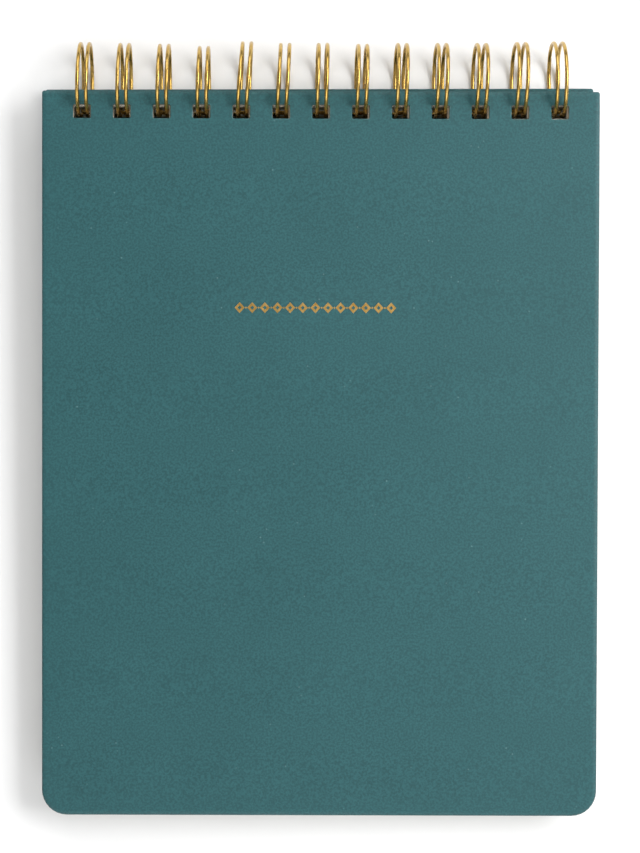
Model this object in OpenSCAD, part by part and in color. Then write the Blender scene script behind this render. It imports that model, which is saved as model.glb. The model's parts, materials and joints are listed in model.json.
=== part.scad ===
// Wire-bound notebook, lying closed on a table. Millimetres, +X along the spine, +Y towards the
// binding, +Z up. The origin is under the middle of the whole notebook, on the table.
// Everything is laid out about the axis of the wire rings: "height" is measured up from that axis,
// and "reach" is measured away from it, towards the free edge of the notebook (-Y).

/* [Binding wire] */
// Number of twin loops
loops = 13; // [6:1:16]
// Distance between the middles of two loops
pitch = 12.7; // [12.7:0.1:14]
// Diameter of the wire
wire_d = 1.25; // [1:0.05:1.3]
// Distance between the two legs of one loop, centre to centre
leg_gap = 3.2; // [3:0.1:3.3]
// Radius of a ring, from its axis to the middle of the wire
ring_r = 11.675; // [11.65:0.025:11.75]
// Bend radius where a leg turns into the bar that joins two loops
corner_r = 1.2; // [1:0.1:1.3]
// Length of the cut stub at each end of the wire
stub = 2.4; // [1:0.1:4]

/* [Covers] */
// Width of the covers, along the spine
cover_w = 177.8; // [174:0.1:190]
// Length of the covers, from the binding edge to the free edge
cover_l = 231.7; // [120:1:300]
// Total thickness of a cover
cover_t = 2.3; // [2:0.05:2.3]
// Thickness of the covering material
wrap_t = 0.25; // [0.15:0.01:0.3]
// Thickness of the covering material that is folded onto the inner face
fold_t = 0.2; // [0.15:0.01:0.25]
// Width of that folded margin
fold_w = 14; // [12:0.5:18]
// Thickness of the lining paper on top of the folded margin
liner_t = 0.15; // [0.1:0.01:0.2]
// Margin of the covering that stays visible round the lining paper
liner_margin = 3; // [2:0.1:4]
// Radius of the two free corners of a cover
corner_far = 8; // [2:0.5:12]
// Radius of the two corners at the binding edge
corner_near = 0.8; // [0.5:0.1:2]
// How far the front cover has slipped round in its own plane, clockwise, in degrees
front_skew = 0.16; // [0:0.01:0.16]
// How far the back cover has slipped round in its own plane, anticlockwise, in degrees
back_skew = 0.1; // [0:0.01:0.1]

/* [Sheets] */
// Thickness of one sheet
sheet_t = 0.105; // [0.08:0.005:0.105]
// Distance from one sheet to the next
sheet_step = 0.11; // [0.109:0.001:0.11]
// Width of a sheet
sheet_w = 175.2; // [172:0.1:175.4]
// Length of a sheet
sheet_l = 228; // [110:0.5:228]

/* [Punching] */
// Width of a hole, along the spine
hole_w = 5.5; // [5.3:0.1:6]
// Height of a hole
hole_h = 4.3; // [4.3:0.1:4.6]
// Distance from the binding edge of a cover to its holes
hole_edge = 4.45; // [4.4:0.05:4.6]
// Corner radius of the holes in the covers
hole_corner = 0.5; // [0.3:0.1:0.8]

/* [Foil ornament] */
// Length of the ornament
foil_w = 51.6; // [30:0.1:80]
// Height of the ornament
foil_h = 3.5; // [2:0.1:8]
// Line width of the lozenges
foil_line = 0.7; // [0.3:0.05:0.7]
// How far the foil stands above the cover
foil_t = 0.03; // [0.02:0.01:0.05]
// Number of lozenges
foil_count = 13; // [5:2:21]
// Distance from the binding edge of the cover to the middle of the ornament
foil_reach = 69; // [30:1:100]
// How far the ornament lies to the left of the middle
foil_left = 1.6; // [0:0.1:5]

/* [Stack round the ring axis] */
// Height of the outer face of the front cover
front_top = 6.2; // [6.1:0.05:6.2]
// Depth of the outer face of the back cover
back_bottom = 8.9; // [8.85:0.05:8.9]
// Reach of the front cover's binding edge
front_edge = 4.3; // [4.25:0.05:4.35]
// Reach of the back cover's binding edge
back_edge = 1.9; // [1.85:0.05:1.95]
// Reach of the sheets' binding edge
sheet_edge = 4.7; // [4.5:0.05:4.8]
// Further tilt of the sheets and the front cover, which closes the seam's gap at the free edge
leaf_tilt = 0.4; // [0.38:0.01:0.4]
// Depth of the bars that join the loops, below the ring axis
bar_depth = 5.79; // [5.77:0.01:5.8]

/* [Hidden] */
$fn = 48;
play = 0.02;
swelling = 0.02;
wire_r = wire_d / 2;
ring_out = ring_r + wire_r;
half_gap = leg_gap / 2;
hole_round = 2 * hole_corner;
front_inner = front_top - cover_t;
back_inner = back_bottom - cover_t;
sheet_hole_reach = front_edge + hole_edge;
back_reach = back_edge + cover_l;
front_reach = front_edge + cover_l;

// tilt of the back cover, which lies on the rings' undersides and on its own free edge
back_tilt = asin((ring_out - back_bottom) / back_reach);
front_tilt = back_tilt + leaf_tilt;

// the ring axis, placed so that the notebook is centred on the origin and stands on z = 0
skew_drop = (cover_w / 2 - corner_far) * sin(front_skew);
low_y = (front_reach + skew_drop) * cos(front_tilt) + (front_top + foil_t) * sin(front_tilt);
axis_y = (low_y - ring_out) / 2;
axis_z = ring_out;

// angles round the ring axis, from +Y by way of the top; the bars lie between the last sheet
// and the back cover, and the loops' tips come up to them from below
corner_turn = atan(corner_r / ring_r);
bar_angle = 180 + asin(bar_depth / norm([ring_r, corner_r]));
leg_end = bar_angle - corner_turn;
tip_angle = bar_angle + 4.5;
tip_end = tip_angle + asin(half_gap / ring_r) - 360;

teal = [0.25, 0.42, 0.43];
greyboard = [0.62, 0.58, 0.52];
lining = [0.90, 0.87, 0.80];
paper = [0.95, 0.93, 0.88];
gold = [0.72, 0.60, 0.36];

// middle of loop number k, counted from 0
function loop_x(k) = (k - (loops - 1) / 2) * pitch;

// ---- frames ----

// from the ring axis to the notebook's own frame, for something tilted with the free edge down
module about_axis(tilt) {
    translate([0, axis_y, axis_z]) rotate([tilt, 0, 0]) children();
}

// a cover's plane, y = 0 at its binding edge, turned about the cover's middle by its slip
module slipped(edge, height, skew) {
    translate([0, -edge - cover_l / 2, height])
        rotate([0, 0, skew])
        translate([0, cover_l / 2, 0])
        children();
}

// a front cover part: z = 0 is its inner face, z up is outwards
module on_front() {
    about_axis(front_tilt) slipped(front_edge, front_inner, -front_skew) children();
}

// a back cover part, drawn the same way and then turned over, with its outer face down
module on_back() {
    about_axis(back_tilt)
        slipped(back_edge, -back_inner, back_skew)
        mirror([0, 0, 1])
        children();
}

// ---- outlines, with the binding edge along y = 0 ----

// a leaf with two large corners at its free edge and two small ones at its binding edge
module leaf_outline(w, l, r_far, r_near) {
    translate([-w / 2, r_far - l]) square([w, l - r_far - r_near]);
    translate([r_far - w / 2, -l]) square([w - 2 * r_far, l]);
    translate([r_near - w / 2, -l / 2]) square([w - 2 * r_near, l / 2]);
    for (side = [-1, 1]) {
        translate([side * (w / 2 - r_far), r_far - l]) circle(r_far);
        translate([side * (w / 2 - r_near), -r_near]) circle(r_near);
    }
}

// the same outline, drawn in by an even margin
module inset_outline(margin) {
    translate([0, -margin])
        leaf_outline(cover_w - 2 * margin, cover_l - 2 * margin, max(corner_far - margin, 1),
                     max(corner_near - margin, 0.5));
}

// the punched row: rounded rectangles in the covers
module cover_holes() {
    for (k = [0 : loops - 1])
        translate([loop_x(k), -hole_edge - hole_h / 2]) {
            square([hole_w, hole_h - hole_round], center = true);
            square([hole_w - hole_round, hole_h], center = true);
            for (u = [-1, 1], v = [-1, 1])
                translate([u * (hole_w - hole_round) / 2, v * (hole_h - hole_round) / 2])
                    circle(hole_corner);
        }
}

// one layer of a cover, punched
module cover_layer(margin, t) {
    linear_extrude(t) difference() {
        inset_outline(margin);
        cover_holes();
    }
}

// ---- covers ----

// stiff board inside the covering
module board() {
    color(greyboard)
        translate([0, 0, liner_t + fold_t])
        cover_layer(wrap_t, cover_t - wrap_t - fold_t - liner_t);
}

// covering material: the outer face, the edges, and the margin folded onto the inner face
module wrap() {
    color(teal) difference() {
        translate([0, 0, liner_t]) cover_layer(0, cover_t - liner_t);
        translate([0, 0, liner_t + fold_t])
            linear_extrude(cover_t - wrap_t - fold_t - liner_t) inset_outline(wrap_t);
        linear_extrude(liner_t + fold_t) inset_outline(fold_w);
    }
}

// lining paper: a pad on the board, and a rim that laps over the folded margin
module liner() {
    color(lining) {
        linear_extrude(liner_t + fold_t) inset_outline(fold_w);
        cover_layer(liner_margin, liner_t);
    }
}

module front_board() { on_front() board(); }
module front_wrap() { on_front() wrap(); }
module front_liner() { on_front() liner(); }
module back_board() { on_back() board(); }
module back_wrap() { on_back() wrap(); }
module back_liner() { on_back() liner(); }

// ---- gold foil on the front cover: a row of open lozenges with a dot between each two ----

module lozenge(w, h) {
    polygon([[w / 2, 0], [0, h / 2], [-w / 2, 0], [0, -h / 2]]);
}

module foil_ornament() {
    step = foil_w / (foil_count - 0.2);
    w = 0.8 * step;
    color(gold) on_front()
        translate([-foil_left, -foil_reach, cover_t])
        linear_extrude(foil_t)
        for (k = [0 : foil_count - 1])
            translate([(k - (foil_count - 1) / 2) * step, 0]) {
                difference() {
                    lozenge(w, foil_h);
                    lozenge(w - 2.8 * foil_line, foil_h - 3.1 * foil_line);
                }
                if (k > 0) translate([-step / 2, 0]) lozenge(foil_line, foil_line);
            }
}

// ---- sheets, counted from the front cover ----

module sheet_outline() {
    difference() {
        leaf_outline(sheet_w, sheet_l, corner_far - 1, corner_near);
        for (k = [0 : loops - 1])
            translate([loop_x(k), sheet_edge - sheet_hole_reach - hole_h / 2])
                square([hole_w, hole_h], center = true);
    }
}

module sheets(first, last) {
    color(paper) about_axis(front_tilt)
        for (n = [first : last])
            translate([0, -sheet_edge, front_inner - play - n * sheet_step])
            linear_extrude(sheet_t) sheet_outline();
}

// ---- binding wire: one wire bent into twin loops ----

// turns a drawing in the XY plane so that it stands across the ring axis
module across_axis() {
    about_axis(back_tilt) rotate([90, 0, 90]) children();
}

// part of a bend that lies flat on the ring: r is its radius, from and turn are its angles. A slight
// swelling where the curvature changes joins it to its neighbours.
module flat_bend(r, from, turn) {
    rotate([0, -90, 0]) rotate([0, 0, from]) {
        rotate_extrude(angle = turn) translate([r, 0]) circle(wire_r);
        for (end = [0, turn]) rotate([0, 0, end]) translate([r, 0, 0]) sphere(wire_r + swelling);
    }
}

module twin_loop() {
    for (side = [-1, 1]) {
        translate([0, 0, side * half_gap])
            rotate([0, 0, tip_end])
            rotate_extrude(angle = leg_end - tip_end) translate([ring_r, 0]) circle(wire_r);
        rotate([0, 0, leg_end])
            translate([ring_r, 0, side * (half_gap + corner_r)])
            flat_bend(corner_r, side > 0 ? 90 : 0, 90);
    }
    rotate([0, 0, tip_end]) translate([ring_r, 0, 0]) flat_bend(half_gap, 180, 180);
}

// a straight bar along the spine, from x = a to x = b
module bar(a, b) {
    rotate([0, 0, leg_end]) translate([ring_r, corner_r, a]) cylinder(r = wire_r, h = b - a);
}

module binding_wire() {
    bend = half_gap + corner_r;
    color(gold) across_axis() {
        for (k = [0 : loops - 1]) translate([0, 0, loop_x(k)]) twin_loop();
        for (k = [1 : loops - 1]) bar(loop_x(k - 1) + bend, loop_x(k) - bend);
        bar(loop_x(0) - bend - stub, loop_x(0) - bend);
        bar(loop_x(loops - 1) + bend, loop_x(loops - 1) + bend + stub);
    }
}

back_board();
back_wrap();
back_liner();
binding_wire();
sheets(1, 1);  // sheet_01
sheets(2, 2);  // sheet_02
sheets(3, 3);  // sheet_03
sheets(4, 4);  // sheet_04
sheets(5, 10);  // sheets_05_10
sheets(11, 20);  // sheets_11_20
sheets(21, 30);  // sheets_21_30
sheets(31, 40);  // sheets_31_40
sheets(41, 50);  // sheets_41_50
sheets(51, 60);  // sheets_51_60
sheets(61, 70);  // sheets_61_70
sheets(71, 80);  // sheets_71_80
front_board();
front_wrap();
front_liner();
foil_ornament();
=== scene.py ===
# The wire-bound notebook's looks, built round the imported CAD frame. Metres, +Y towards the binding.
# "Reach" is measured from the ring axis towards the free edge, and "height" up from the ring axis.
import json
import math
import random

import bmesh
import bpy
from mathutils import Matrix, Vector
from mathutils.geometry import tessellate_polygon

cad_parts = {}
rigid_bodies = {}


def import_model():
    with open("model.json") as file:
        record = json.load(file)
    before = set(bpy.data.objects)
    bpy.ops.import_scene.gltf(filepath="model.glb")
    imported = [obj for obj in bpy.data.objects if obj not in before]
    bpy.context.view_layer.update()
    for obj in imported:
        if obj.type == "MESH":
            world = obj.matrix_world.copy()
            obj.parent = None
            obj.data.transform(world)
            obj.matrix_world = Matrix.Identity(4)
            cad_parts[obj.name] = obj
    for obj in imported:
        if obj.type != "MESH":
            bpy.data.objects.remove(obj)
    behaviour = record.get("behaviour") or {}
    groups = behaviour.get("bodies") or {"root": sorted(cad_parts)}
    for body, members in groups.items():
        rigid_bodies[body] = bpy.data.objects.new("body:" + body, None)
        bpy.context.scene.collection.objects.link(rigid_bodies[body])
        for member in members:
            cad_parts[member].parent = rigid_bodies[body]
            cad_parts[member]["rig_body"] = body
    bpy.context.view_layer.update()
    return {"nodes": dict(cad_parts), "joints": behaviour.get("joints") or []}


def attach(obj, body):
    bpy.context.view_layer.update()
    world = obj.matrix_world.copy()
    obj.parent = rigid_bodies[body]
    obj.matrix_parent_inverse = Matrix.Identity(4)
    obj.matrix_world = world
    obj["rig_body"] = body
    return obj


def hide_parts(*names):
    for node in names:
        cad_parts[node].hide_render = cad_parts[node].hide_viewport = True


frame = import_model()

MM = 0.001

# ---- sizes, as in the CAD model ----
LOOPS = 13
PITCH = 12.7 * MM
WIRE_R = 0.625 * MM
HALF_GAP = 1.6 * MM
RING_R = 11.675 * MM
BEND_R = 1.2 * MM
STUB = 2.4 * MM
BAR_DEPTH = 5.79 * MM
TIP_PAST_BAR = math.radians(4.5)

COVER_W = 177.8 * MM
COVER_L = 231.7 * MM
COVER_T = 2.3 * MM
WRAP_T = 0.25 * MM
FOLD_T = 0.2 * MM
FOLD_W = 14 * MM
LINER_T = 0.15 * MM
CORNER_FAR = 8 * MM
CORNER_NEAR = 0.8 * MM
FRONT_SKEW = math.radians(0.16)
BACK_SKEW = math.radians(0.1)

SHEET_T = 0.105 * MM
SHEET_STEP = 0.11 * MM
SHEET_W = 175.2 * MM
SHEET_L = 228 * MM
SHEET_PLAY = 0.02 * MM

HOLE_W = 5.5 * MM
HOLE_H = 4.3 * MM
HOLE_EDGE = 4.45 * MM
HOLE_CORNER = 0.5 * MM

FRONT_TOP = 6.2 * MM
BACK_BOTTOM = 8.9 * MM
FRONT_EDGE = 4.3 * MM
BACK_EDGE = 1.9 * MM
SHEET_EDGE = 4.7 * MM

AXIS = Vector(frame["joints"][0]["pos_m"])
BACK_TILT = math.asin((RING_R + WIRE_R - BACK_BOTTOM) / (BACK_EDGE + COVER_L))
LEAF_TILT = math.radians(0.4)
FRONT_TILT = BACK_TILT + LEAF_TILT

# ---- fine shape that only the visual model has ----
# a cover's outer edge: how far its rounding reaches in and down, and how rubbed it is
EDGE_W = 1.5 * MM
EDGE_H = 0.55 * MM
EDGE_WEAR = 0.2
EDGE_IN_R = 0.5 * MM
# the pressed-in rim of a punched hole, and how rubbed its lip is
HOLE_BEVEL = 0.2 * MM
LIP_WEAR = 1.5
SUPPORT = 0.25 * MM
# the drawn wire is this much thinner than the CAD model's, so that it stays inside its box
WIRE_INSET = 0.01 * MM
# how far a sheet may lie out of line: sideways and lengthwise in mm, and turned in degrees
SHEET_ASIDE = 0.2
SHEET_ALONG = 0.15
SHEET_TURN = 0.02

# how the loops are bent out of true: their crowns lean to the right, two of them more than the
# rest, and the last one not at all; loops are counted from 0
LEG_GAP = 2.8 * MM
FEET_SHIFT = 0.45 * MM
CROWN_SHIFT = 0.9 * MM
CROWN_SHIFTS = {4: 2 * MM, 5: 1.5 * MM, 12: 0}
CROWN_TWIST = 0.4 * MM
# sag of each crown, in mm
SAGS = [0.2, 0.5, 0.8, 1.5, 0.0, 0.5, 0.5, 0.8, 0.5, 0.5, 0.5, 0.2, 0.0]


def loop_x(k):
    """Middle of loop number k, counted from 0."""
    return (k - (LOOPS - 1) / 2) * PITCH


# ---- frames ----

def about_axis(tilt):
    """From the ring axis to the row frame, for something tilted with its free edge down."""
    return Matrix.Translation(AXIS) @ Matrix.Rotation(tilt, 4, "X")


def slipped(edge, height, skew):
    """A cover's plane, y = 0 at its binding edge, turned about the cover's middle by its slip."""
    middle = Matrix.Translation((0, -edge - COVER_L / 2, height))
    return middle @ Matrix.Rotation(skew, 4, "Z") @ Matrix.Translation((0, COVER_L / 2, 0))


def front_frame():
    """Plane of the front cover: z = 0 is its inner face, z up is outwards."""
    return about_axis(FRONT_TILT) @ slipped(FRONT_EDGE, FRONT_TOP - COVER_T, -FRONT_SKEW)


def back_frame():
    """The same for the back cover, turned over, with its outer face down."""
    plane = slipped(BACK_EDGE, COVER_T - BACK_BOTTOM, BACK_SKEW)
    return about_axis(BACK_TILT) @ plane @ Matrix.Rotation(math.pi, 4, "Y")


# ---- meshes ----

def new_object(name, mesh):
    piece = bpy.data.objects.new(name, mesh)
    bpy.context.scene.collection.objects.link(piece)
    return piece


def mesh_from(name, vertices, faces, matrix=None, smooth_angle=None):
    """A mesh with outward normals, moved into the row frame by matrix."""
    mesh = bpy.data.meshes.new(name)
    mesh.from_pydata([tuple(v) for v in vertices], [], faces)
    bm = bmesh.new()
    bm.from_mesh(mesh)
    bmesh.ops.recalc_face_normals(bm, faces=bm.faces)
    bm.to_mesh(mesh)
    bm.free()
    if matrix is not None:
        mesh.transform(matrix)
    if smooth_angle is not None:
        mesh.shade_smooth()
        mesh.set_sharp_from_angle(angle=math.radians(smooth_angle))
    return mesh


def rounded_outline(w, l, r_far, r_near, steps=8):
    """A leaf's outline, anticlockwise from the right end of the binding edge, which is y = 0."""
    corners = [
        (w / 2 - r_near, -r_near, r_near, 0),
        (r_near - w / 2, -r_near, r_near, 90),
        (r_far - w / 2, r_far - l, r_far, 180),
        (w / 2 - r_far, r_far - l, r_far, 270),
    ]
    points = []
    for x, y, r, start in corners:
        for i in range(steps + 1):
            a = math.radians(start + 90 * i / steps)
            points.append((x + r * math.cos(a), y + r * math.sin(a)))
    return points


def cover_outline(inset):
    """The cover's outline, drawn in by an even margin."""
    ring = rounded_outline(
        COVER_W - 2 * inset, COVER_L - 2 * inset,
        max(CORNER_FAR - inset, 1 * MM), max(CORNER_NEAR - inset, 0.1 * MM))
    return [(x, y - inset) for x, y in ring]


def hole_outline(k, grow=0.0):
    """One punched hole of a cover, a rounded rectangle, grown by an even margin."""
    ring = rounded_outline(
        HOLE_W + 2 * grow, HOLE_H + 2 * grow, HOLE_CORNER + grow, HOLE_CORNER + grow, steps=4)
    return [(x + loop_x(k), y + grow - HOLE_EDGE) for x, y in ring]


class CoverShell:
    """Builds the covering of one cover as one closed mesh, ring by ring."""

    def __init__(self):
        self.vertices, self.faces, self.cores, self.wear = [], [], [], []

    def ring(self, points, z, wear=0.0):
        first = len(self.vertices)
        self.vertices += [(x, y, z) for x, y in points]
        self.wear += [wear] * len(points)
        return list(range(first, first + len(points)))

    def wall(self, a, b, core=False):
        """Quads between two rings of the same length."""
        for i in range(len(a)):
            j = (i + 1) % len(a)
            self.faces.append((a[i], a[j], b[j], b[i]))
            self.cores.append(core)

    def plate(self, outline, holes):
        """A flat face between an outline and the rings inside it."""
        loops = [outline] + holes
        flat = [n for ring in loops for n in ring]
        points = [[Vector(self.vertices[n]) for n in ring] for ring in loops]
        for triangle in tessellate_polygon(points):
            self.faces.append(tuple(flat[n] for n in triangle))
            self.cores.append(False)

    def holes(self, z, grow=0.0, wear=0.0):
        return [self.ring(hole_outline(k, grow), z, wear) for k in range(LOOPS)]


def cover_shell(name, matrix):
    """The teal covering: rounded outer edge, punched holes, and a margin folded under."""
    shell = CoverShell()
    quarter = [math.radians(15 * i) for i in range(7)]

    # outer face, then over the rounded edge to the folded margin
    face = shell.ring(cover_outline(EDGE_W + SUPPORT), COVER_T)
    rims = shell.holes(COVER_T, HOLE_BEVEL + SUPPORT)
    shell.plate(face, rims)
    last = face
    for a in quarter:
        z = COVER_T - EDGE_H * (1 - math.cos(a))
        ring = shell.ring(cover_outline(EDGE_W * (1 - math.sin(a))), z, EDGE_WEAR * math.sin(2 * a))
        shell.wall(last, ring)
        last = ring
    for a in quarter:
        inset = EDGE_IN_R * (1 - math.cos(a))
        z = LINER_T + EDGE_IN_R * (1 - math.sin(a))
        ring = shell.ring(cover_outline(inset), z)
        shell.wall(last, ring)
        last = ring
    flat = shell.ring(cover_outline(EDGE_IN_R + SUPPORT), LINER_T)
    shell.wall(last, flat)

    # the folded margin, punched with the rest
    fold = shell.ring(cover_outline(FOLD_W), LINER_T)
    fold_holes = shell.holes(LINER_T)
    shell.plate(flat, [fold] + fold_holes)
    fold_top = shell.ring(cover_outline(FOLD_W), LINER_T + FOLD_T)
    fold_top_holes = shell.holes(LINER_T + FOLD_T)
    shell.wall(fold, fold_top)
    for a, b in zip(fold_holes, fold_top_holes):
        shell.wall(a, b, core=True)

    # the pocket that the board fills
    pocket = shell.ring(cover_outline(WRAP_T), LINER_T + FOLD_T)
    shell.plate(pocket, [fold_top] + fold_top_holes)
    ceiling = shell.ring(cover_outline(WRAP_T), COVER_T - WRAP_T)
    shell.wall(pocket, ceiling)
    deep = shell.holes(COVER_T - WRAP_T)
    shell.plate(ceiling, deep)

    # walls of the holes through the outer face, with a pressed-in rim
    lips = shell.holes(COVER_T, HOLE_BEVEL, wear=LIP_WEAR)
    necks = shell.holes(COVER_T - HOLE_BEVEL)
    for rim, lip, neck, end in zip(rims, lips, necks, deep):
        shell.wall(rim, lip)
        shell.wall(lip, neck)
        shell.wall(neck, end, core=True)

    mesh = mesh_from(name, shell.vertices, shell.faces, matrix, smooth_angle=32)
    wear = mesh.attributes.new("wear", "FLOAT", "POINT")
    wear.data.foreach_set("value", shell.wear)
    for polygon, core in zip(mesh.polygons, shell.cores):
        polygon.material_index = int(core)
    return new_object(name, mesh)


def sheet_grid():
    """One sheet as (vertices, faces, cuts); cuts says of each face whether it is a hole's wall.

    The sheet is a grid whose columns follow the holes and the round corners.
    """
    half, near, far = SHEET_W / 2, CORNER_NEAR, CORNER_FAR - 1 * MM
    columns = [half - far + far * math.sin(math.radians(18 * i)) for i in range(6)]
    columns += [half - near + near * math.sin(math.radians(45 * i)) for i in range(2)]
    columns += [-x for x in columns]
    for k in range(LOOPS):
        columns += [loop_x(k) - HOLE_W / 2, loop_x(k) + HOLE_W / 2]
    columns = sorted(set(round(x, 7) for x in columns))
    hole_top = SHEET_EDGE - FRONT_EDGE - HOLE_EDGE
    hole_low = hole_top - HOLE_H
    rows = 5

    def rounding(x, r):
        over = max(abs(x) - (half - r), 0)
        return r - math.sqrt(max(r * r - over * over, 0))

    layer = []
    for x in columns:
        far_y = rounding(x, far) - SHEET_L
        line = [-rounding(x, near), hole_top, hole_low]
        line += [hole_low + (far_y - hole_low) * i / rows for i in range(1, rows + 1)]
        layer.append([(x, y) for y in line])
    high = len(layer[0])
    vertices = [(x, y, z) for z in (SHEET_T, 0) for line in layer for x, y in line]
    under = len(columns) * high
    punched = {columns.index(round(loop_x(k) - HOLE_W / 2, 7)) for k in range(LOOPS)}
    kept = {(i, j) for i in range(len(columns) - 1) for j in range(high - 1)
            if not (j == 1 and i in punched)}
    faces, cuts = [], []
    for i, j in sorted(kept):
        a, b, c, d = i * high + j, (i + 1) * high + j, (i + 1) * high + j + 1, i * high + j + 1
        faces += [(a, d, c, b), (a + under, b + under, c + under, d + under)]
        cuts += [False, False]
        sides = {(i, j - 1): (a, b), (i + 1, j): (b, c), (i, j + 1): (c, d), (i - 1, j): (d, a)}
        for neighbour, (p, q) in sides.items():
            if neighbour not in kept:
                faces.append((p, q, q + under, p + under))
                cuts.append(neighbour[1] == 1 and neighbour[0] in punched)
    return vertices, faces, cuts


def sheets(name, first, last):
    """Sheets first to last as separate solids, each a little out of line with the next."""
    grid, cells, cuts = sheet_grid()
    vertices, faces = [], []
    for n in range(first, last + 1):
        chance = random.Random(n)
        aside = chance.uniform(-SHEET_ASIDE, SHEET_ASIDE)
        along = chance.uniform(-SHEET_ALONG, SHEET_ALONG)
        shift = Vector((aside, along, 0)) * MM
        turn = Matrix.Rotation(math.radians(chance.uniform(-SHEET_TURN, SHEET_TURN)), 4, "Z")
        height = FRONT_TOP - COVER_T - SHEET_PLAY - n * SHEET_STEP
        place = Matrix.Translation(shift + Vector((0, -SHEET_EDGE, height))) @ turn
        start = len(vertices)
        vertices += [place @ Vector(v) for v in grid]
        faces += [tuple(start + v for v in face) for face in cells]
    mesh = mesh_from(name, vertices, faces, about_axis(FRONT_TILT))
    for polygon, cut in zip(mesh.polygons, cuts * (last - first + 1)):
        polygon.material_index = int(cut)
    return new_object(name, mesh)


def wire_path():
    """The wire's centre line, loop after loop: (x, y, height) from the ring axis."""
    bend_angle = math.atan(BEND_R / RING_R)
    bar_angle = math.pi + math.asin(BAR_DEPTH / math.hypot(RING_R, BEND_R))
    leg_end = bar_angle - bend_angle
    tip_end = bar_angle + TIP_PAST_BAR + math.asin(HALF_GAP / RING_R) - 2 * math.pi
    steps = 72

    def on_ring(k, side, angle, along=0.0, across=0.0):
        """A point of loop k at an angle, moved along the ring and along the spine."""
        free = (1 + math.cos(angle)) / 2
        crown = CROWN_SHIFTS.get(k, CROWN_SHIFT) + CROWN_TWIST * math.sin(angle)
        lean = FEET_SHIFT * (1 - free) + crown * free
        y = RING_R * math.cos(angle) - along * math.sin(angle) - SAGS[k] * MM * free
        z = RING_R * math.sin(angle) + along * math.cos(angle)
        return Vector((loop_x(k) + side * LEG_GAP / 2 + lean + across, y, z))

    points = [on_ring(0, -1, leg_end, BEND_R, -BEND_R - STUB)]
    for k in range(LOOPS):
        for i in range(7):
            a = math.radians(15 * i)
            inwards = -BEND_R * (1 - math.sin(a))
            points.append(on_ring(k, -1, leg_end, BEND_R * math.cos(a), inwards))
        for i in range(1, steps):
            points.append(on_ring(k, -1, leg_end + (tip_end - leg_end) * i / steps))
        for i in range(13):
            a = math.radians(15 * i)
            half = LEG_GAP / 2
            points.append(on_ring(k, -1, tip_end, -half * math.sin(a), half * (1 - math.cos(a))))
        for i in range(1, steps):
            points.append(on_ring(k, 1, tip_end + (leg_end - tip_end) * i / steps))
        for i in range(7):
            a = math.radians(90 - 15 * i)
            points.append(on_ring(k, 1, leg_end, BEND_R * math.cos(a), BEND_R * (1 - math.sin(a))))
    points.append(on_ring(LOOPS - 1, 1, leg_end, BEND_R, BEND_R + STUB))
    return points


def tube(name, points, radius, matrix, sides=16):
    """A round tube along the points, closed at both ends, turned with as little twist as it can."""
    vertices, faces = [], []
    tangents = [(b - a).normalized() for a, b in zip(points[:-1], points[1:])]
    between = [(a + b).normalized() for a, b in zip(tangents, tangents[1:])]
    tangents = [tangents[0]] + between + [tangents[-1]]
    normal = tangents[0].orthogonal().normalized()
    for n, (point, tangent) in enumerate(zip(points, tangents)):
        normal = (normal - tangent * normal.dot(tangent)).normalized()
        other = tangent.cross(normal)
        for s in range(sides):
            a = 2 * math.pi * s / sides
            vertices.append(point + radius * (normal * math.cos(a) + other * math.sin(a)))
        if n:
            for s in range(sides):
                t = (s + 1) % sides
                low = (n - 1) * sides
                faces.append((low + s, low + t, low + sides + t, low + sides + s))
    faces.append(tuple(range(sides)))
    faces.append(tuple(range(len(vertices) - sides, len(vertices))))
    return new_object(name, mesh_from(name, vertices, faces, matrix, smooth_angle=50))


# ---- materials ----

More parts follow.
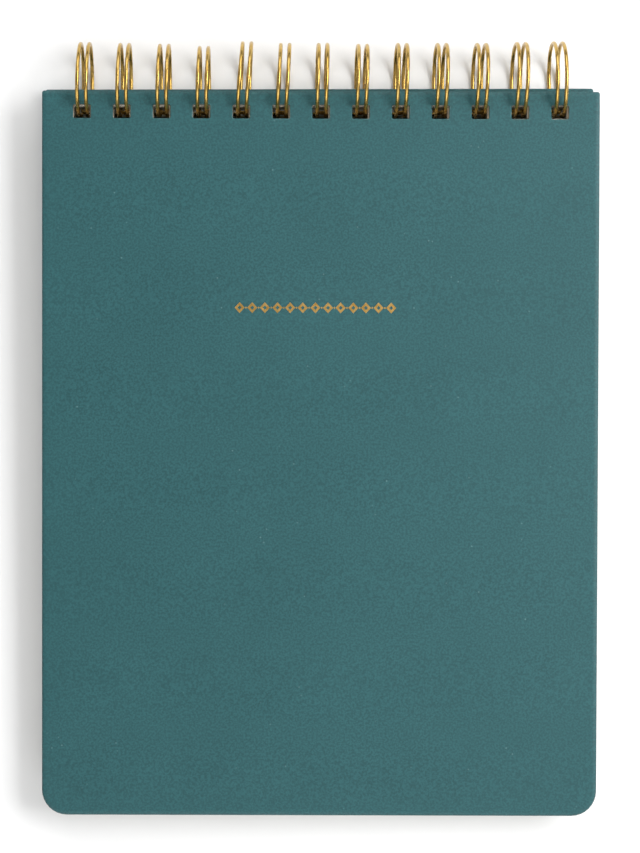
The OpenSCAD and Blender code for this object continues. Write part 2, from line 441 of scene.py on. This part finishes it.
class Shader:
    """A node material with one Principled shader, and short calls for the nodes in front of it."""

    def __init__(self, name, **sockets):
        self.material = bpy.data.materials.new(name)
        self.material.use_nodes = True
        self.tree = self.material.node_tree
        self.surface = self.tree.nodes["Principled BSDF"]
        for socket, value in sockets.items():
            self.surface.inputs[socket.replace("_", " ")].default_value = value

    def node(self, kind, settings=None, **inputs):
        """A node; an input is a number, a tuple, or another node's output."""
        made = self.tree.nodes.new(kind)
        for key, value in (settings or {}).items():
            setattr(made, key, value)
        for key, value in inputs.items():
            place = int(key[1:]) if key[1:].isdigit() else key.replace("_", " ")
            socket = made.inputs[place]
            if isinstance(value, bpy.types.NodeSocket):
                self.tree.links.new(value, socket)
            else:
                socket.default_value = value
        return made.outputs[0]

    def coords(self, scale=(1, 1, 1), turn=0.0):
        """Object coordinates in metres, scaled and turned about Z."""
        texture = self.tree.nodes.new("ShaderNodeTexCoord")
        mapping = self.tree.nodes.new("ShaderNodeMapping")
        mapping.inputs["Scale"].default_value = scale
        mapping.inputs["Rotation"].default_value = (0, 0, turn)
        self.tree.links.new(texture.outputs["Object"], mapping.inputs["Vector"])
        return mapping.outputs[0]

    def noise(self, vector, scale, detail=2.0, rough=0.5):
        return self.node("ShaderNodeTexNoise", Vector=vector, Scale=scale, Detail=detail, Roughness=rough)

    def ramp(self, value, low, high):
        """0 below low and 1 above high, or the other way round."""
        return self.node("ShaderNodeMapRange", {"interpolation_type": "SMOOTHSTEP"}, Value=value,
                         From_Min=low, From_Max=high)

    def scaled(self, value, low, high):
        """A 0 to 1 value spread over low to high."""
        return self.node("ShaderNodeMapRange", Value=value, To_Min=low, To_Max=high)

    def math(self, operation, a, b=0.0):
        return self.node("ShaderNodeMath", {"operation": operation}, i0=a, i1=b)

    def mix(self, factor, a, b, blend="MIX"):
        mixed = self.tree.nodes.new("ShaderNodeMix")
        mixed.data_type, mixed.blend_type = "RGBA", blend
        for number, value in ((0, factor), (6, a), (7, b)):
            socket = mixed.inputs[number]
            if isinstance(value, bpy.types.NodeSocket):
                self.tree.links.new(value, socket)
            else:
                socket.default_value = value
        return mixed.outputs[2]

    def bump(self, height, strength, distance, under=None):
        bump = self.tree.nodes.new("ShaderNodeBump")
        bump.inputs["Strength"].default_value = strength
        bump.inputs["Distance"].default_value = distance
        self.tree.links.new(height, bump.inputs["Height"])
        if under is not None:
            self.tree.links.new(under, bump.inputs["Normal"])
        return bump.outputs[0]

    def feed(self, **sockets):
        for socket, output in sockets.items():
            self.tree.links.new(output, self.surface.inputs[socket.replace("_", " ")])
        return self.material


def cover_material():
    """Teal matte covering paper: fine grain, faint mottling, pale specks, hair scratches, rubbed edges."""
    s = Shader("cover_teal", Specular_IOR_Level=0.42)
    plain = s.coords()
    grain = s.noise(plain, 1500, 3, 0.6)
    fibres = s.noise(s.coords((900, 2600, 900), 0.5), 1, 3)
    mottle = s.noise(plain, 38, 4, 0.6)
    colour = s.mix(s.ramp(mottle, 0.3, 0.7), (0.0170, 0.093, 0.1015, 1), (0.0195, 0.100, 0.109, 1))
    colour = s.mix(s.ramp(grain, 0.35, 0.65), s.mix(0.36, colour, (0, 0.016, 0.02, 1)), colour)
    specks = s.node("ShaderNodeTexVoronoi", {"feature": "F1"}, Vector=plain, Scale=420)
    sparse = s.ramp(s.noise(plain, 160, 1), 0.62, 0.72)
    speck = s.math("MULTIPLY", s.ramp(specks, 0.16, 0.06), sparse)
    colour = s.mix(s.math("MULTIPLY", speck, 0.2), colour, (0.25, 0.38, 0.39, 1))
    hair = s.noise(s.coords((22, 900, 22), 0.85), 1, 1)
    hair_here = s.ramp(s.noise(plain, 14, 1), 0.6, 0.7)
    scratch = s.math("MULTIPLY", s.ramp(hair, 0.80, 0.86), hair_here)
    colour = s.mix(s.math("MULTIPLY", scratch, 0.2), colour, (0.16, 0.28, 0.29, 1))
    s.node("ShaderNodeAttribute", {"attribute_name": "wear"})
    wear = s.tree.nodes[-1].outputs["Fac"]
    rubbed = s.math("MULTIPLY", wear, s.ramp(s.noise(plain, 700, 4, 0.7), 0.42, 0.72))
    colour = s.mix(s.math("MULTIPLY", rubbed, 0.45), colour, (0.16, 0.25, 0.26, 1))
    rough = s.math("ADD", s.scaled(grain, 0.50, 0.60), s.math("MULTIPLY", scratch, -0.1))
    height = s.math("ADD", s.math("MULTIPLY", grain, 0.6), s.math("MULTIPLY", fibres, 0.4))
    return s.feed(Base_Color=colour, Roughness=rough, Normal=s.bump(height, 0.25, 0.00003))


def core_material():
    """Cut edge of the covering in the punched holes: pale paper core with a trace of teal."""
    s = Shader("cover_core", Roughness=0.8)
    tint = s.noise(s.coords(), 1500, 3)
    colour = s.mix(s.ramp(tint, 0.35, 0.65), (0.24, 0.28, 0.26, 1), (0.50, 0.47, 0.42, 1))
    return s.feed(Base_Color=colour, Normal=s.bump(tint, 0.4, 0.00005))


def board_material():
    """Greyboard: layered, fibrous, warm grey."""
    s = Shader("greyboard", Roughness=0.92)
    layers = s.noise(s.coords((300, 300, 5200)), 1, 3)
    fibres = s.noise(s.coords(), 1900, 4, 0.65)
    colour = s.mix(s.ramp(layers, 0.3, 0.7), (0.34, 0.29, 0.23, 1), (0.52, 0.46, 0.38, 1))
    colour = s.mix(s.ramp(fibres, 0.55, 0.75), colour, (0.62, 0.57, 0.50, 1))
    return s.feed(Base_Color=colour, Normal=s.bump(fibres, 0.6, 0.00008))


def liner_material():
    """Lining paper: smooth, uncoated, with faint fibres."""
    s = Shader("lining_paper", Roughness=0.78)
    plain = s.coords()
    fibres = s.noise(s.coords((500, 1500, 500), 0.4), 1, 4, 0.6)
    cloud = s.noise(plain, 45, 3)
    colour = s.mix(s.ramp(cloud, 0.3, 0.7), (0.70, 0.66, 0.57, 1), (0.76, 0.72, 0.63, 1))
    colour = s.mix(s.ramp(fibres, 0.62, 0.80), colour, (0.60, 0.55, 0.46, 1))
    return s.feed(Base_Color=colour, Normal=s.bump(fibres, 0.25, 0.00003))


# the ruling of the pages: from one line to the next, and the first and last line's reach
LINE_SPACING = 7.1 * MM
FIRST_LINE = 29 * MM
LAST_LINE = 222 * MM
LINE_FADE = 0.2 * MM


def page_material():
    """Ivory writing paper with pale ruled lines across it."""
    s = Shader("page_paper", Roughness=0.86)
    plain = s.coords()
    fibres = s.noise(plain, 1300, 4, 0.65)
    cloud = s.noise(plain, 60, 3)
    colour = s.mix(s.ramp(cloud, 0.3, 0.7), (0.80, 0.77, 0.68, 1), (0.85, 0.82, 0.74, 1))
    place = s.node("ShaderNodeSeparateXYZ", Vector=plain)
    y = s.tree.nodes[-1].outputs["Y"]
    in_line = s.math("FRACT", s.math("MULTIPLY", y, 1 / LINE_SPACING))
    off_line = s.math("ABSOLUTE", s.math("SUBTRACT", in_line, 0.5))
    line = s.ramp(off_line, 0.024, 0.014)
    below_header = s.ramp(y, AXIS.y - FIRST_LINE, AXIS.y - FIRST_LINE - LINE_FADE)
    above_foot = s.ramp(y, AXIS.y - LAST_LINE - LINE_FADE, AXIS.y - LAST_LINE)
    ruled = s.math("MULTIPLY", line, s.math("MULTIPLY", below_header, above_foot))
    colour = s.mix(s.math("MULTIPLY", ruled, 0.55), colour, (0.36, 0.44, 0.47, 1))
    colour = s.mix(s.math("MULTIPLY", s.ramp(fibres, 0.6, 0.8), 0.3), colour, (0.70, 0.66, 0.56, 1))
    return s.feed(Base_Color=colour, Normal=s.bump(fibres, 0.2, 0.00003))


def shaded_cut_material():
    """Walls of the punched holes through the sheets, painted near-black as shade: the many ivory cut edges
    there lie too deep for light to reach.
    """
    s = Shader("page_cut_painted_shade", Roughness=0.95, Specular_IOR_Level=0.2)
    layers = s.noise(s.coords((300, 300, 5200)), 1, 3)
    # painted shade: near-black in place of the ivory paper's cut edges inside the holes
    colour = s.mix(s.ramp(layers, 0.3, 0.7), (0.02, 0.014, 0.009, 1), (0.045, 0.033, 0.022, 1))
    return s.feed(Base_Color=colour)


def wire_material():
    """Gold-coloured drawn wire: bright, with fine draw marks and slightly dull patches."""
    s = Shader("gold_wire", Metallic=1.0, Specular_IOR_Level=0.5)
    plain = s.coords()
    patch = s.noise(plain, 260, 3)
    fine = s.noise(plain, 3200, 2)
    colour = s.mix(s.ramp(patch, 0.3, 0.7), (0.49, 0.315, 0.08, 1), (0.57, 0.385, 0.115, 1))
    rough = s.math("ADD", s.scaled(patch, 0.18, 0.30), s.scaled(fine, 0.0, 0.06))
    return s.feed(Base_Color=colour, Roughness=rough, Normal=s.bump(fine, 0.12, 0.00002))


def foil_material():
    """Hot-stamped gold foil, following the grain of the covering beneath it."""
    s = Shader("gold_foil", Metallic=1.0)
    plain = s.coords()
    grain = s.noise(plain, 2600, 3)
    patch = s.noise(plain, 900, 3, 0.7)
    colour = s.mix(s.ramp(patch, 0.35, 0.65), (0.62, 0.36, 0.09, 1), (0.80, 0.52, 0.18, 1))
    return s.feed(Base_Color=colour, Roughness=s.scaled(grain, 0.34, 0.50),
                  Normal=s.bump(grain, 0.35, 0.00003))


# ---- the notebook ----

teal, core = cover_material(), core_material()
front_cover = cover_shell("front_covering", front_frame())
back_cover = cover_shell("back_covering", back_frame())
for piece, node, body in ((front_cover, "front_wrap", "front_cover"),
                          (back_cover, "back_wrap", "back_cover")):
    piece.data.materials.append(teal)
    piece.data.materials.append(core)
    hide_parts(node)
    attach(piece, body)

# the sheets' hole walls get a near-black material: painted shade, not the paper's own colour
page, cut = page_material(), shaded_cut_material()
for node, cad in frame["nodes"].items():
    if not node.startswith("sheet"):
        continue
    numbers = [int(part) for part in node.split("_")[1:]]
    block = sheets(node + "_paper", numbers[0], numbers[-1])
    block.data.materials.append(page)
    block.data.materials.append(cut)
    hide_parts(node)
    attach(block, cad["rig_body"])

wire = tube("twin_loop_wire", wire_path(), WIRE_R - WIRE_INSET, about_axis(BACK_TILT))
wire.data.materials.append(wire_material())
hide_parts("binding_wire")
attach(wire, "wire")

board, liner = board_material(), liner_material()
for node, material in (("front_board", board), ("back_board", board), ("front_liner", liner),
                       ("back_liner", liner), ("foil_ornament", foil_material())):
    cad = frame["nodes"][node]
    cad.data.materials.clear()
    cad.data.materials.append(material)


# ---- floor, light and camera ----

def floor():
    """A plain pale floor, a hair below the notebook."""
    bpy.ops.mesh.primitive_plane_add(size=6, location=(0, 0, -0.00005))
    plane = bpy.context.object
    plane.name = "floor"
    s = Shader("floor_white", Roughness=0.9, Specular_IOR_Level=0.15)
    tone = s.noise(s.coords(), 3, 2)
    colour = s.mix(tone, (0.86, 0.86, 0.86, 1), (0.88, 0.88, 0.88, 1))
    plane.data.materials.append(s.feed(Base_Color=colour))


def softbox(name, place, aim, width, height, power):
    """An area light aimed at a point; its height runs upwards as seen from the aim."""
    light = bpy.data.lights.new(name, "AREA")
    light.shape = "RECTANGLE"
    light.size = width
    light.size_y = height
    light.energy = power
    box = bpy.data.objects.new(name, light)
    bpy.context.scene.collection.objects.link(box)
    box.location = place
    box.rotation_euler = (Vector(aim) - Vector(place)).to_track_quat("-Z", "Y").to_euler()


def world(strength):
    """Even white surroundings, dark at the horizon and straight overhead, where the camera hangs."""
    bpy.context.scene.world = bpy.data.worlds.new("studio")
    bpy.context.scene.world.use_nodes = True
    nodes, links = bpy.context.scene.world.node_tree.nodes, bpy.context.scene.world.node_tree.links
    direction = nodes.new("ShaderNodeTexCoord")
    parts = nodes.new("ShaderNodeSeparateXYZ")
    links.new(direction.outputs["Generated"], parts.inputs[0])
    level = parts.outputs["Z"]
    rise, fall = nodes.new("ShaderNodeMapRange"), nodes.new("ShaderNodeMapRange")
    for fade, start, end, low, high in ((rise, 0.1, 0.4, 0, strength), (fall, 0.86, 0.95, 1, 0)):
        fade.interpolation_type = "SMOOTHSTEP"
        for socket, value in (("From Min", start), ("From Max", end), ("To Min", low), ("To Max", high)):
            fade.inputs[socket].default_value = value
        links.new(level, fade.inputs["Value"])
    both = nodes.new("ShaderNodeMath")
    both.operation = "MULTIPLY"
    links.new(rise.outputs[0], both.inputs[0])
    links.new(fall.outputs[0], both.inputs[1])
    links.new(both.outputs[0], nodes["Background"].inputs["Strength"])
    nodes["Background"].inputs["Color"].default_value = (1, 1, 1, 1)


def camera():
    """Straight down, as far off as a 92 mm lens needs to fill the frame with the notebook."""
    lens = bpy.data.cameras.new("camera")
    lens.sensor_fit, lens.sensor_height, lens.lens = "VERTICAL", 36, 92.4
    seen = bpy.data.objects.new("camera", lens)
    bpy.context.scene.collection.objects.link(seen)
    seen.location = (0, 0.00071, 0.7156)
    bpy.context.scene.camera = seen


floor()
softbox("key", (0.73, 0.15, 0.82), (0, 0.02, 0), 0.75, 0.55, 10.6)
softbox("front_fill", (0.05, -1.00, 0.80), (0, 0, 0), 1.4, 0.8, 7.5)
softbox("back_fill", (0.05, 1.00, 0.80), (0, 0, 0), 1.4, 0.8, 7.6)
world(0.53)
camera()
bpy.context.scene.view_settings.view_transform = "Standard"
